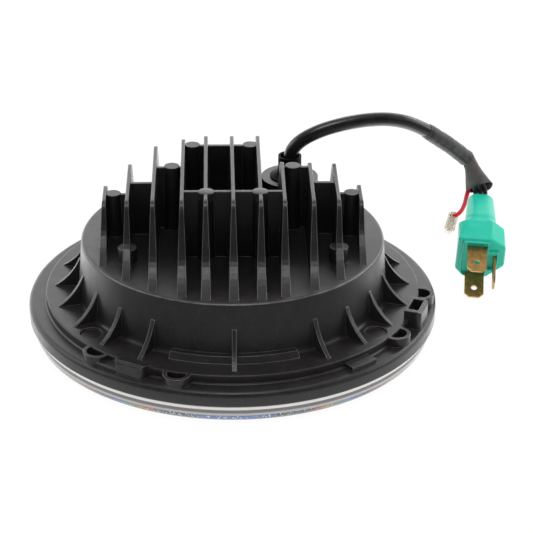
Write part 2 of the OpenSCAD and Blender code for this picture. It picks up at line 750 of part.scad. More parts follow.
module driver_coil() {
    color("#3a3a3c")
        translate([driver_left + driver_w * 5 / 12, driver_y + driver_depth / 2, driver_z - coil_h]) {
            cylinder(h = coil_h / 7, r = coil_r);
            cylinder(h = coil_h, r = coil_r * 0.77);
            translate([0, 0, coil_h * 6 / 7])
                cylinder(h = coil_h / 7, r = coil_r);
        }
}

module driver_capacitors() {
    color("#2c2f3a")
        for (side = [0.625, 0.9])
            translate([driver_left + driver_w * side, driver_y + driver_depth / 3, driver_z - capacitor_h])
                cylinder(h = capacitor_h, r = capacitor_r);
}

// A pan head screw, driven upwards from the lens side
module screw(x, y, seat, length) {
    translate([x, y, seat - head_h]) {
        cylinder(h = head_h, r1 = 2.2, r2 = 2.7);
        cylinder(h = head_h + length, d = screw_d);
    }
}

module board_screws() {
    color("#b9bcc0") {
        for (s = board_spots)
            screw(s[0], s[1], board_z, board_t + heat_pad_t + thread_l - 2);
        for (s = driver_spots)
            screw(s[0], s[1], driver_z, driver_t + thread_l);
    }
}

module reflector_screws() {
    color("#b9bcc0")
        for (x = [-ear_x, ear_x])
            for (y = [-row_half, row_half])
                screw(x, y, plate_z, reflector_t + thread_l + 2);
}

module inner_leads() color("#2a2a2c") three_wires(inner_path, 1, 1.2);

module cable_grommet() {
    bore_r = cable_d / 2;
    color("#1d1d1f")
        translate([outlet_x, outlet_y, 0])
            spin(concat(
                [[bore_r, ceiling - 2.2], [outlet_bore / 2 + 1.6, ceiling - 2.2],
                 [outlet_bore / 2 + 1.6, ceiling - 0.1], [outlet_bore / 2 - 0.1, ceiling - 0.1],
                 [outlet_bore / 2 - 0.1, boss_top], [grommet_foot_d / 2, boss_top]],
                bow([grommet_foot_d / 2, boss_top + 0.6], [collar_d / 2 + 0.2, boss_top + 1.4],
                    [collar_d / 2, boss_top + 5], 6),
                [[collar_d / 2, collar_top], [collar_d / 2 - collar_wall, collar_top],
                 [collar_d / 2 - collar_wall, shoulder], [bore_r, shoulder]]));
}

module cable() color("#151517") tube(cable_path, cable_d / 2);

module shrink_sleeve() {
    size = [sleeve_d / 2, sleeve_d / 2];
    wall = (sleeve_d - cable_d) / 2 - 0.1;
    color("#2b2b2d")
        hollow_tube(cable_path, [for (i = [sleeve_start : len(cable_path) - 1]) size], wall, 12, sleeve_start);
}

module loose_sleeve() color("#303032") hollow_tube(loose_path, loose_half, 0.5);

module plug_leads() color("#1c1c1e") three_wires(lead_path, 1.1, 1.3);

module place_plug() {
    translate(plug_at)
        rotate([0, 0, plug_turn])
            rotate([plug_dip, 0, 0])
                rotate([0, plug_roll, 0])
                    children();
}

// Outline of the plug body seen on its front face: the lower corners are cut unequally
plug_front = [[-0.46, 0.5], [0.21, 0.5], [0.495, 0.32], [0.515, -0.15], [0.175, -0.485],
    [-0.26, -0.505], [-0.46, -0.3]];
// The same outline at the rear end of the wide part
plug_rear = [[-0.463, 0.4], [-0.3, 0.5], [0.21, 0.5], [0.47, 0.31], [0.48, -0.15], [0.175, -0.46],
    [-0.24, -0.47], [-0.42, -0.3]];

module plug_slab(outline, y, t, size = [plug_w, plug_h]) {
    translate([0, y + t, 0])
        rotate([90, 0, 0])
            linear_extrude(height = t)
                polygon([for (q = outline) [q[0] * size[0], q[1] * size[1]]]);
}

// Outline of the neck between left and right, bottom and top, with cut corners
function neck(l, r, b, t, c) =
    [[l + c, t], [r - c, t], [r, t - c], [r, b + c], [r - c, b], [l + c, b], [l, b + c], [l, t - c]];

module plug_body() {
    one = [1, 1];
    tail = plug_l + tail_l;
    neck_front = neck(-7.2, 6.3, -4, 12.2, 3.6);
    neck_rear = neck(-6, 6.1, -5, 6.2, 3.2);
    neck_end = neck(-4.6, 4.8, -3.8, 4.8, 2.6);
    color("#3fbf9f")
        place_plug()
            difference() {
                union() {
                    hull() {
                        plug_slab(plug_front, -lip_depth, 0.4, [plug_w - 0.7, plug_h - 0.7]);
                        plug_slab(plug_front, -lip_depth + 0.4, 0.4);
                        plug_slab(plug_rear, plug_l - 0.4, 0.4);
                    }
                    hull() {
                        plug_slab(plug_rear, plug_l - 0.4, 0.4);
                        plug_slab(neck_front, plug_l + 2.6, 0.4, one);
                    }
                    hull() {
                        plug_slab(neck_front, plug_l + 2.6, 0.4, one);
                        plug_slab(neck_rear, tail - 3.4, 0.4, one);
                    }
                    hull() {
                        plug_slab(neck_rear, tail - 3.4, 0.4, one);
                        plug_slab(neck_end, tail - 0.4, 0.4, one);
                    }
                }
                translate([-8.2, -2, -11.3])
                    cube([11.7, 2, 23.5]);
                translate([-8.2, -2, -6.5])
                    cube([16.4, 2, 12.5]);
                translate([-7.1, -2, -10.8])
                    cube([10.2, 2 + lip_depth, 21.8]);
                translate([-7.1, -2, -6])
                    cube([14.6, 2 + lip_depth, 10.8]);
                translate([0.1, tail - plug_depth, 0.6])
                    rotate([-90, 0, 0])
                        cylinder(h = plug_depth + 1, d = 6.4);
            }
}

// A brass blade with a pierced, cut tip, lying flat and pointing to the front
module blade() {
    translate([0, 0, -blade_t / 2])
        linear_extrude(height = blade_t)
            difference() {
                polygon([[-blade_w / 2, lip_depth], [-blade_w / 2, -blade_out + 2], [-blade_w / 2 + 2, -blade_out],
                    [blade_w / 2 - 2, -blade_out], [blade_w / 2, -blade_out + 2], [blade_w / 2, lip_depth]]);
                translate([0, -blade_out * 0.62])
                    circle(d = blade_hole_d);
            }
}

module blade_upper() {
    color("#b8923f")
        place_plug()
            translate([blade_x, 0, blade_low + blade_gap])
                blade();
}

module blade_lower() {
    color("#b8923f")
        place_plug()
            translate([blade_x + 0.35, 0, blade_low])
                blade();
}

module blade_side() {
    color("#b8923f")
        place_plug()
            translate([side_x, 0, side_z])
                rotate([0, 90, 0])
                    blade();
}

module red_lead() color("#c8202c") tube(red_path, 0.9, 8);

// The terminal's frame: +Z runs from the wire to the tip
module place_terminal() {
    d = terminal_path[1] - terminal_path[0];
    translate(terminal_path[0])
        rotate([0, acos(d[2] / norm(d)), atan2(d[1], d[0])])
            children();
}

terminal_l = norm(terminal_path[1] - terminal_path[0]);

module terminal_cover() {
    color("#e6e6e2", 0.5)
        place_terminal()
            difference() {
                cylinder(h = terminal_l, r = terminal_r);
                translate([0, 0, -1])
                    cylinder(h = terminal_l + 2, r = terminal_r - 0.5);
            }
}

module terminal_crimp() {
    color("#c9c7bd")
        place_terminal()
            translate([0, 0, 0.2]) {
                cylinder(h = 5, r = 1.5);
                translate([-1.7, -0.4, 4])
                    cube([3.4, 0.8, terminal_l - 5]);
            }
}

rear_housing();
front_lens();
lens_seal();
bezel();
light_ring();
ring_board();
low_beam_reflector();
high_beam_reflector();
led_board();
led_emitters();
heat_pad();
driver_board();
driver_coil();
driver_capacitors();
board_screws();
reflector_screws();
inner_leads();
cable_grommet();
cable();
shrink_sleeve();
loose_sleeve();
plug_leads();
plug_body();
blade_upper();
blade_lower();
blade_side();
red_lead();
terminal_cover();
terminal_crimp();
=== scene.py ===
"""Looks for a round LED headlight unit that lies on its lens: black casting, cable and green plug."""

import math

import bpy
import numpy as np
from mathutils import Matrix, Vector


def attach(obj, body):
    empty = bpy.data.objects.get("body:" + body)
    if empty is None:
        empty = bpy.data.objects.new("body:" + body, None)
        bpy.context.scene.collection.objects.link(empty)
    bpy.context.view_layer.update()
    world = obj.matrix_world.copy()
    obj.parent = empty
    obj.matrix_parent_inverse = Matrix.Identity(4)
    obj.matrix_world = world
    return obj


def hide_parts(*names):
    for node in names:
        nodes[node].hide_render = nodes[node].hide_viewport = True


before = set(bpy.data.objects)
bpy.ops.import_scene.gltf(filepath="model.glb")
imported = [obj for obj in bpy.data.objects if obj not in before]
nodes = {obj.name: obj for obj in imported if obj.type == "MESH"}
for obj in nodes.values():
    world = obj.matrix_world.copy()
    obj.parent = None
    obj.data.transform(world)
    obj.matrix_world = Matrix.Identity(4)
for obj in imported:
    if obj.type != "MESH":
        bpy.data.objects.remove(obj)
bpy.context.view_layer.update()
MM = 0.001
TAU = 2 * math.pi


# Small helpers

def linear(hex_colour, alpha=1.0):
    """An sRGB hex colour as linear red, green, blue and alpha."""
    parts = [int(hex_colour[i:i + 2], 16) / 255 for i in (1, 3, 5)]
    low = [c / 12.92 if c <= 0.04045 else ((c + 0.055) / 1.055) ** 2.4 for c in parts]
    return (*low, alpha)


def add(tree, kind, inputs=None, output=0, **settings):
    """Adds one node and hands back one of its outputs. Settings are the node's own properties. Inputs
    are its sockets, each with a plain value, a hex colour or another node's output."""
    node = tree.nodes.new("ShaderNode" + kind)
    for key, value in settings.items():
        setattr(node, key, value)
    for key, value in (inputs or {}).items():
        if isinstance(value, bpy.types.NodeSocket):
            tree.links.new(value, node.inputs[key])
        else:
            node.inputs[key].default_value = linear(value) if isinstance(value, str) else value
    return node.outputs[output] if node.outputs else None


def new_material(name):
    """An empty node material and its tree."""
    material = bpy.data.materials.new(name)
    material.use_nodes = True
    material.node_tree.nodes.clear()
    return material, material.node_tree


def mesh_object(name, points, faces, cut=40):
    """A mesh from arrays of points and faces, with sharp edges where faces meet at more than cut
    degrees."""
    mesh = bpy.data.meshes.new(name)
    points = np.asarray(points, float).reshape(-1, 3)
    mesh.from_pydata(points.tolist(), [], [list(map(int, face)) for face in faces])
    mesh.update()
    thing = bpy.data.objects.new(name, mesh)
    bpy.context.scene.collection.objects.link(thing)
    mesh.shade_smooth()
    mesh.set_sharp_from_angle(angle=math.radians(cut))
    return thing


def grid_faces(rows, columns, close_rows=False):
    """Four-cornered faces of a grid of points that is numbered row by row. Each row is a closed ring,
    and the last row joins the first where asked."""
    r, c = np.meshgrid(np.arange(rows if close_rows else rows - 1), np.arange(columns), indexing="ij")
    r2, c2 = (r + 1) % rows, (c + 1) % columns
    quads = np.stack([r * columns + c, r * columns + c2, r2 * columns + c2, r2 * columns + c], -1)
    return quads.reshape(-1, 4)


def end_lids(rows, columns):
    """The two flat faces that close a grid of rings: the first row turned round, and the last row."""
    return [list(range(columns - 1, -1, -1)), list(range((rows - 1) * columns, rows * columns))]


def smooth_path(points, step):
    """A centripetal Catmull-Rom curve through the points, then spaced evenly by step."""
    p = np.asarray(points, float)
    p = np.vstack([2 * p[0] - p[1], p, 2 * p[-1] - p[-2]])
    knots = np.concatenate([[0], np.cumsum(np.linalg.norm(np.diff(p, axis=0), axis=1) ** 0.5)])
    out = []
    for i in range(1, len(p) - 2):
        t0, t1, t2, t3 = knots[i - 1:i + 3]
        t = np.linspace(t1, t2, 24, endpoint=False)[:, None]
        a1 = (t1 - t) / (t1 - t0) * p[i - 1] + (t - t0) / (t1 - t0) * p[i]
        a2 = (t2 - t) / (t2 - t1) * p[i] + (t - t1) / (t2 - t1) * p[i + 1]
        a3 = (t3 - t) / (t3 - t2) * p[i + 1] + (t - t2) / (t3 - t2) * p[i + 2]
        b1 = (t2 - t) / (t2 - t0) * a1 + (t - t0) / (t2 - t0) * a2
        b2 = (t3 - t) / (t3 - t1) * a2 + (t - t1) / (t3 - t1) * a3
        out.append((t2 - t) / (t2 - t1) * b1 + (t - t1) / (t2 - t1) * b2)
    dense = np.vstack(out + [p[-2:-1]])
    along = np.concatenate([[0], np.cumsum(np.linalg.norm(np.diff(dense, axis=0), axis=1))])
    count = max(4, int(round(along[-1] / step)) + 1)
    wanted = np.linspace(0, along[-1], count)
    return np.stack([np.interp(wanted, along, dense[:, k]) for k in range(3)], 1)


def path_frames(points):
    """At each point of a path: its direction, and two directions across it that are steadied against
    the Y axis."""
    t = np.gradient(points, axis=0)
    t /= np.linalg.norm(t, axis=1)[:, None]
    side = np.cross(t, [0, 1, 0])
    side /= np.linalg.norm(side, axis=1)[:, None]
    return t, side, np.cross(side, t)


def tube(name, points, half_a, half_b=None, sides=24):
    """A tube along a path: ring i is the path's point, plus half_a[i] times the cosine along one
    direction across it and half_b[i] times the sine along the other. Both ends are closed flat."""
    points = np.asarray(points, float)
    n = len(points)
    a = np.broadcast_to(half_a, (n,)).astype(float)
    b = a if half_b is None else np.broadcast_to(half_b, (n,)).astype(float)
    _, side, up = path_frames(points)
    angle = np.arange(sides) * TAU / sides
    ring = (points[:, None] + a[:, None, None] * np.cos(angle)[None, :, None] * side[:, None]
            + b[:, None, None] * np.sin(angle)[None, :, None] * up[:, None])
    return mesh_object(name, ring, grid_faces(n, sides).tolist() + end_lids(n, sides))


def place(material, *things):
    """Gives each object that one material."""
    for thing in things:
        thing.data.materials.clear()
        thing.data.materials.append(material)


# Camera

LOOK_AT = Vector((0, 0, 15 * MM))
DISTANCE = 880 * MM
ELEVATION = math.radians(27.4)
AZIMUTH = math.radians(-0.6)

camera_data = bpy.data.cameras.new("camera")
camera = bpy.data.objects.new("camera", camera_data)
bpy.context.scene.collection.objects.link(camera)
bpy.context.scene.camera = camera
camera_data.sensor_width = 36
camera_data.lens = 135.3
camera_data.shift_x, camera_data.shift_y = 0.0638, 0.0474
back = Vector((math.sin(AZIMUTH) * math.cos(ELEVATION), -math.cos(AZIMUTH) * math.cos(ELEVATION),
               math.sin(ELEVATION)))
camera.location = LOOK_AT + back * DISTANCE
camera.rotation_mode = "QUATERNION"
camera.rotation_quaternion = (-back).to_track_quat("-Z", "Y")
camera_data.clip_start, camera_data.clip_end = 0.05, 60

# Cords: the cable's route is the one in the part's source. The red wire's is set a little to the picture.

CABLE_ROUTE = MM * np.array([
    [26, 40, 36.5], [26, 40, 48], [26, 40, 59], [26.2, 40, 62], [27.1, 40, 65], [29.1, 40.2, 67.9],
    [32.1, 40.6, 70.3], [35.8, 41.2, 72.2], [40.5, 42.2, 73.9], [47, 43.6, 75.4], [55, 45.6, 76.4],
    [63, 47.6, 76.6], [71, 49.6, 75.8], [79, 51.8, 73.4], [86.5, 54.2, 69.3], [89.9, 55.5, 66.8],
    [93.3, 56.9, 64], [99.4, 59.7, 58.9], [103.8, 62, 54.7], [107.9, 64, 50.7]])
SLEEVE_START = MM * np.array([88.2, 54.9, 68.1])
RED_ROUTE = MM * np.array([
    [110.9, 66.4, 38.2], [110.6, 66.6, 35.5], [110.3, 66.9, 32.7], [110.1, 69.3, 28.6],
    [110.1, 74.0, 22.7], [109.5, 78.6, 17.3], [108.7, 81.6, 14.2], [107.7, 83.6, 12.3], [106.7, 84.8, 10.9]])
TERMINAL_TOP, TERMINAL_TIP = MM * np.array([106.6, 84.5, 12.4]), MM * np.array([105.2, 88.3, 1.4])

CABLE_RADIUS, RED_RADIUS = 3.15 * MM, 1.02 * MM

cable_line = smooth_path(CABLE_ROUTE, 0.8 * MM)
cable = tube("cable_jacket", cable_line, CABLE_RADIUS, sides=32)
red_line = smooth_path(RED_ROUTE, 0.5 * MM)
red_wire = tube("red_wire", red_line, RED_RADIUS, sides=20)


def on_body(thing, cad_node):
    """Hangs a new piece on the root body and hides the CAD node that it stands for."""
    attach(thing, "root")
    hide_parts(cad_node)
    return thing


on_body(cable, "cable")
on_body(red_wire, "red_lead")

# Shrunk sleeve


def near(points, place_at):
    """The number of the path point that lies nearest to a place."""
    return int(np.argmin(np.linalg.norm(points - place_at, axis=1)))


sleeve_line = cable_line[near(cable_line, SLEEVE_START):]
count = len(sleeve_line)
along = np.linspace(0, 1, count)
# The tubing shrank tight: it swells and thins by a tenth of a millimetre, and its cut end flares a little.
swell = 0.05 * np.sin(17 * along + 1) + 0.05 * np.sin(41 * along)
flare = 0.18 * np.exp(-((1 - along) / 0.05) ** 2) - 0.38 * np.exp(-(along / 0.06) ** 2)
wide, deep = 3.68 + swell + flare, 3.68 - swell + flare
shrink_sleeve = tube("shrink_sleeve", sleeve_line, wide * MM, deep * MM, sides=36)
on_body(shrink_sleeve, "shrink_sleeve")

# Loose sleeve

SLEEVE_AROUND, SLEEVE_ALONG = 56, 44
# Each row: middle of the sleeve, its half width and its half depth, as vectors. It is folded flat at
# the jacket's end and opens towards the plug, where its mouth turns to the front.
SLEEVE_ROWS = MM * np.array([
    [[108.9, 64.0, 50.4], [-1.4, 0.0, -3.0], [0.9, 1.5, 0.3]],
    [[110.4, 64.6, 47.1], [-2.3, 0.0, -2.4], [0.3, 2.2, 0.2]],
    [[112.0, 65.3, 42.6], [-3.5, 0.0, -2.1], [0.0, 3.2, -0.3]],
    [[113.8, 65.8, 38.3], [-4.9, 0.0, -1.9], [0.0, 3.7, -1.5]],
    [[115.4, 66.2, 34.2], [-6.1, 0.0, -1.5], [0.0, 2.6, -3.3]]])


def between_rows(rows, t):
    """Rows of vectors read at places t from 0 to 1, with a smooth change of direction at each row."""
    at = np.linspace(0, 1, len(rows))
    flat = rows.reshape(len(rows), -1)
    slope = np.gradient(flat, at, axis=0)
    i = np.clip(np.searchsorted(at, t, side="right") - 1, 0, len(rows) - 2)
    h = at[1]
    u = ((t - at[i]) / h)[:, None]
    value = ((2 * u ** 3 - 3 * u ** 2 + 1) * flat[i] + (u ** 3 - 2 * u ** 2 + u) * h * slope[i]
             + (3 * u ** 2 - 2 * u ** 3) * flat[i + 1] + (u ** 3 - u ** 2) * h * slope[i + 1])
    return value.reshape((len(t),) + rows.shape[1:])


def folded_sleeve(name, rows, wall, across=SLEEVE_AROUND, lengthwise=SLEEVE_ALONG):
    """A thin sleeve: every ring is an oval of the row's half width and depth, with soft creases that
    run from the fold and fade towards the mouth, and the mouth gapes more on its right. The inner
    surface lies one wall further in, and both rims are closed."""
    t = np.linspace(0, 1, lengthwise)
    centre, wide, deep = np.moveaxis(between_rows(rows, t), 1, 0)
    angle = np.arange(across) * TAU / across
    c, s = np.cos(angle), np.sin(angle)
    oval_c = np.sign(c) * np.abs(c) ** 0.9
    oval_s = np.sign(s) * np.abs(s) ** 0.8
    folds = 0.35 * np.cos(5 * angle + 0.7) + 0.3 * np.cos(11 * angle + 2)
    crease = folds[None] * (0.08 + 0.7 * np.exp(-(t / 0.3) ** 2))[:, None]
    size = 1 + 0.22 * crease
    lopsided = 1 - 0.5 * c[None] * (t ** 2)[:, None]
    outer = centre[:, None] + size[..., None] * (
        oval_c[None, :, None] * wide[:, None] + (lopsided * oval_s[None])[..., None] * deep[:, None])
    inward = outer - centre[:, None]
    inner = outer - inward / np.linalg.norm(inward, axis=2)[..., None] * wall
    faces = grid_faces(lengthwise, across)
    n = lengthwise * across
    k = np.arange(across)
    k2 = (k + 1) % across
    last = (lengthwise - 1) * across
    start_rim = np.stack([n + k, n + k2, k2, k], -1)
    mouth_rim = np.stack([last + k, last + k2, n + last + k2, n + last + k], -1)
    every = np.concatenate([faces, n + faces[:, ::-1], start_rim, mouth_rim])
    skins = np.concatenate([outer.reshape(-1, 3), inner.reshape(-1, 3)])
    return mesh_object(name, skins, every.tolist(), cut=60)


loose_sleeve = folded_sleeve("loose_sleeve", SLEEVE_ROWS, 0.45 * MM)
on_body(loose_sleeve, "loose_sleeve")

# The plug's wires, side by side

LEAD_ROWS = MM * np.array([
    [[108.9, 64.0, 50.4], [-0.95, 0.0, -2.0]],
    [[110.9, 64.8, 46.0], [-1.5, 0.0, -1.6]],
    [[112.9, 65.6, 41.2], [-1.9, 0.0, -1.1]],
    [[114.8, 66.7, 36.4], [-2.1, 0.0, -0.7]],
    [[115.9, 66.4, 32.9], [-2.2, 0.1, -0.3]],
    [[115.9, 64.2, 30.6], [-2.2, 0.2, 0.1]],
    [[115.6, 61.4, 29.4], [-2.2, 0.24, 0.1]]])


def flat_wires(name, rows, radius, lengthwise=60, sides=16):
    """Three round wires side by side: wire k is a circle carried along the rows' middle line plus k
    widths, with k -1, 0 and 1."""
    line = between_rows(rows, np.linspace(0, 1, lengthwise))
    angle = np.arange(sides) * TAU / sides
    parts, faces = [], []
    for number, k in enumerate((-1, 0, 1)):
        points = line[:, 0] + k * line[:, 1]
        _, side, up = path_frames(points)
        across = np.cos(angle)[None, :, None] * side[:, None] + np.sin(angle)[None, :, None] * up[:, None]
        parts.append((points[:, None] + radius * across).reshape(-1, 3))
        start = number * lengthwise * sides
        faces += (grid_faces(lengthwise, sides) + start).tolist()
        faces += [[start + corner for corner in lid] for lid in end_lids(lengthwise, sides)]
    return mesh_object(name, np.concatenate(parts), faces)


plug_leads = flat_wires("plug_leads", LEAD_ROWS, 1.1 * MM)
on_body(plug_leads, "plug_leads")

# Plug body

PLUG_AT = np.array([112.0, 29.7, 15.6])
PLUG_TURN, PLUG_DIP, PLUG_ROLL = (math.radians(a) for a in (-6.2, 23, 2.5))


def turned(a, b, angle):
    """Two coordinates turned by an angle: a cos - b sin, and a sin + b cos."""
    return a * math.cos(angle) - b * math.sin(angle), a * math.sin(angle) + b * math.cos(angle)


def from_plug(points):
    """Points in the plug's own frame in millimetres, rolled, dipped, turned and moved to where the plug
    lies."""
    x, y, z = np.moveaxis(np.asarray(points, float), -1, 0)
    x, z = turned(x, z, -PLUG_ROLL)
    y, z = turned(y, z, PLUG_DIP)
    x, y = turned(x, y, PLUG_TURN)
    return MM * (np.stack([x, y, z], -1) + PLUG_AT)


PLUG_SIDES = 240
PLUG_ANGLES = (np.arange(PLUG_SIDES) + 0.5) * TAU / PLUG_SIDES


def outline(corners, radius, centre=(0.0, 0.0)):
    """Distance from the centre to a closed outline at every plug angle. Each corner of the outline is
    rounded by a curve that starts and ends the given length away from it, or two fifths of the side at
    most."""
    p = np.asarray(corners, float) - centre
    to_last, to_next = np.roll(p, 1, 0) - p, np.roll(p, -1, 0) - p
    lengths = [np.linalg.norm(side, axis=1) for side in (to_last, to_next)]
    cut = [np.minimum(radius, 0.4 * length) / length for length in lengths]
    a, b = p + to_last * cut[0][:, None], p + to_next * cut[1][:, None]
    t = np.linspace(0, 1, 9)[None, :, None]
    curve = ((1 - t) ** 2 * a[:, None] + 2 * t * (1 - t) * p[:, None] + t ** 2 * b[:, None]).reshape(-1, 2)
    sides = np.roll(curve, -1, 0) - curve
    steps = np.linspace(0, 1, 12, endpoint=False)[None, :, None]
    dense = (curve[:, None] + sides[:, None] * steps).reshape(-1, 2)
    angle = np.arctan2(dense[:, 1], dense[:, 0]) % TAU
    order = np.argsort(angle)
    return np.interp(PLUG_ANGLES, angle[order], np.linalg.norm(dense, axis=1)[order], period=TAU)


# Outlines across the plug, in millimetres from its middle, as (right, up) corners.
FRONT = [(-10.4, 13.2), (4.75, 13.2), (11.2, 8.45), (11.65, -4.0), (4.0, -12.8), (-5.9, -13.3), (-10.4, -7.9)]
REAR = [(-10.45, 10.6), (-6.8, 13.2), (4.75, 13.2), (10.6, 8.2), (10.85, -4.0), (4.0, -12.1), (-5.4, -12.4),
        (-9.5, -7.9)]
LIP = [(-8.2, 12.1), (3.6, 12.1), (3.6, 6.1), (8.3, 6.1), (8.3, -6.5), (3.6, -6.5), (3.6, -11.3),
       (-6.4, -11.3), (-8.2, -9.3)]
LIP_INNER = [(-7.6, 11.5), (3.0, 11.5), (3.0, 5.5), (7.7, 5.5), (7.7, -5.9), (3.0, -5.9), (3.0, -10.7),
             (-6.1, -10.7), (-7.6, -9.0)]
POCKET = [(-7.5, 11.4), (1.1, 11.4), (1.2, 9.2), (2.9, 9.2), (2.9, 3.4), (7.5, 3.4), (7.5, -5.8), (2.9, -5.8),
          (2.9, -10.6), (-6.0, -10.6), (-7.5, -8.9)]


def cut_box(left, right, low, high, cut):
    """Corners of a box with its four corners cut off."""
    return [(left + cut, high), (right - cut, high), (right, high - cut), (right, low + cut),
            (right - cut, low), (left + cut, low), (left, low + cut), (left, high - cut)]


def plug_rows():
    """Rows of the plug's skin from the middle of its recessed front to the bottom of the wires' hole.
    Each row is its place along the plug, its centre, and its distance from that centre at every plug
    angle."""
    middle = (0.0, 0.0)
    front, rear = outline(FRONT, 1.3), outline(REAR, 1.2)
    lip, lip_inner, pocket = outline(LIP, 0.9), outline(LIP_INNER, 0.6), outline(POCKET, 0.4)
    # The pocket's floor and wall, the groove beside it, and the raised lip with a groove round it.
    rows = [(0.8, middle, 0 * front + 0.05), (0.8, middle, pocket * 0.55), (0.8, middle, pocket - 0.15),
            (0.66, middle, pocket), (-0.2, middle, pocket + 0.02),
            (-0.3, middle, np.minimum(pocket + 0.12, lip_inner - 0.02)),
            (-0.32, middle, np.maximum(lip_inner - 0.12, pocket + 0.13)), (-0.36, middle, lip_inner),
            (-0.7, middle, lip_inner + 0.04), (-0.8, middle, lip_inner + 0.16), (-0.8, middle, lip - 0.16),
            (-0.7, middle, lip - 0.02), (0.18, middle, lip + 0.02), (0.26, middle, lip + 0.12),
            (0.26, middle, np.maximum(front - 0.75, lip + 0.14)),
            (0.34, middle, np.maximum(front - 0.45, lip + 0.16)), (0.6, middle, front - 0.15),
            (1.0, middle, front)]
    # The body's side, which changes from the front outline to the rear one.
    rows += [(y, middle, front + (rear - front) * y / 12) for y in np.linspace(2.0, 11.6, 9)]
    rows.append((11.9, middle, rear - 0.05))
    # The shoulder, which eases in to the neck, and the neck, which narrows to the tail.
    neck_front, neck_rear = np.array([-0.45, 4.1]), np.array([0.05, 0.6])
    flare = outline(cut_box(-7.3, 6.7, -4, 12.3, 3.0), 1.8, neck_front)
    tail = outline(cut_box(-6.1, 6.2, -5, 6.3, 2.6), 1.8, neck_rear)
    moved_rear = outline(REAR, 1.2, neck_front)
    for u in np.linspace(0, 1, 9):
        ease = 1 - (1 - u) ** 2
        rows.append((12.0 + 4.2 * u, neck_front, moved_rear * (1 - ease) + flare * ease - 0.1 * (1 - u)))
    for u in np.linspace(0.1, 1, 9):
        rows.append((16.2 + 16.8 * u, neck_front * (1 - u) + neck_rear * u, flare * (1 - u) + tail * u))
    tail_round = [(33.9, 0.2), (34.7, 0.65), (35.4, 1.3), (35.9, 2.0), (36.2, 2.8)]
    rows += [(y, neck_rear, tail - inward) for y, inward in tail_round]
    # The flat oval hole of the wires.
    hole = 1 / np.sqrt((np.cos(PLUG_ANGLES) / 3.6) ** 2 + (np.sin(PLUG_ANGLES) / 1.5) ** 2)
    rows += [(36.3, neck_rear, np.minimum(tail - 3.2, 6) * 0.3 + hole * 0.7 + 0.2), (36.1, neck_rear, hole),
             (34.2, neck_rear, hole - 0.1), (34.1, neck_rear, hole * 0.5), (34.1, neck_rear, hole * 0.02)]
    return rows


def plug_skin(rows):
    """Points of the plug's skin: a row's centre plus its distance times the cosine to the right and the
    sine up."""
    along = np.array([y for y, _, _ in rows])[:, None]
    centre = np.array([middle for _, middle, _ in rows])
    far = np.array([distance for _, _, distance in rows])
    right = centre[:, :1] + far * np.cos(PLUG_ANGLES)
    up = centre[:, 1:] + far * np.sin(PLUG_ANGLES)
    return np.stack([right, np.broadcast_to(along, far.shape), up], -1)


rows = plug_rows()
plug_faces = grid_faces(len(rows), PLUG_SIDES).tolist() + end_lids(len(rows), PLUG_SIDES)
plug_body = mesh_object("plug_body", from_plug(plug_skin(rows)), plug_faces, cut=38)
on_body(plug_body, "plug_body")

# Covered terminal


def straight(a, b, rings, sides):
    """Points of a straight piece from a to b. Each ring is (share of the way, half width, half depth):
    its points are the place on the line plus half width times the cosine to the side and half depth
    times the sine upwards."""
    axis = (b - a) / np.linalg.norm(b - a)
    side = np.cross(axis, [0, 1, 0])
    side /= np.linalg.norm(side)
    up = np.cross(side, axis)
    angle = np.arange(sides) * TAU / sides
    share, wide, deep = np.moveaxis(np.array(rings), 1, 0)[..., None, None]
    across = wide * np.cos(angle)[:, None] * side + deep * np.sin(angle)[:, None] * up
    return a + (b - a) * share + MM * across


TERMINAL_SIDES = 28
# The cover's outer wall from the wire's end to the tip, then its inner wall back.
COVER_RINGS = [
    (0.0, 1.85, 1.7), (0.02, 2.3, 2.0), (0.1, 2.55, 2.1), (0.3, 2.65, 2.15), (0.5, 2.7, 2.15),
    (0.8, 2.75, 2.1), (0.98, 2.65, 2.0), (1.0, 2.5, 1.85), (0.98, 2.3, 1.7), (0.8, 2.4, 1.8),
    (0.5, 2.35, 1.85), (0.3, 2.3, 1.8), (0.1, 2.1, 1.75), (0.02, 1.75, 1.6)]
# The terminal: the barrel crimped on the insulation, the one crimped on the strands, and the flat end.
CRIMP_RINGS = [
    (0.05, 0.3, 0.3), (0.05, 1.2, 1.2), (0.1, 1.45, 1.4), (0.3, 1.5, 1.3), (0.36, 1.05, 0.8),
    (0.42, 1.5, 1.25), (0.55, 1.6, 0.9), (0.62, 1.2, 0.5), (0.92, 1.3, 0.45), (0.95, 1.0, 0.3),
    (0.95, 0.2, 0.1)]

cover_faces = grid_faces(len(COVER_RINGS), TERMINAL_SIDES, close_rows=True)[:, ::-1].tolist()
cover_points = straight(TERMINAL_TOP, TERMINAL_TIP, COVER_RINGS, TERMINAL_SIDES)
terminal_cover = mesh_object("terminal_cover", cover_points, cover_faces, cut=50)
on_body(terminal_cover, "terminal_cover")
crimp_rows = len(CRIMP_RINGS)
crimp_faces = grid_faces(crimp_rows, TERMINAL_SIDES).tolist() + end_lids(crimp_rows, TERMINAL_SIDES)
crimp_points = straight(TERMINAL_TOP, TERMINAL_TIP, CRIMP_RINGS, TERMINAL_SIDES)
terminal_crimp = mesh_object("terminal_crimp", crimp_points, crimp_faces, cut=35)
on_body(terminal_crimp, "terminal_crimp")

# Pads on the two middle fins

# The two round pads before the middle cross wall reach up to the tops of their fins.
PAD_SIDES = 48
PAD_PLACES = [(-11.2, -24.6), (11.2, -24.6)]
PAD_PROFILE = [(3.0, 71.5), (3.35, 74.2), (3.35, 74.6), (3.25, 74.76), (3.05, 74.82), (0.02, 74.82)]


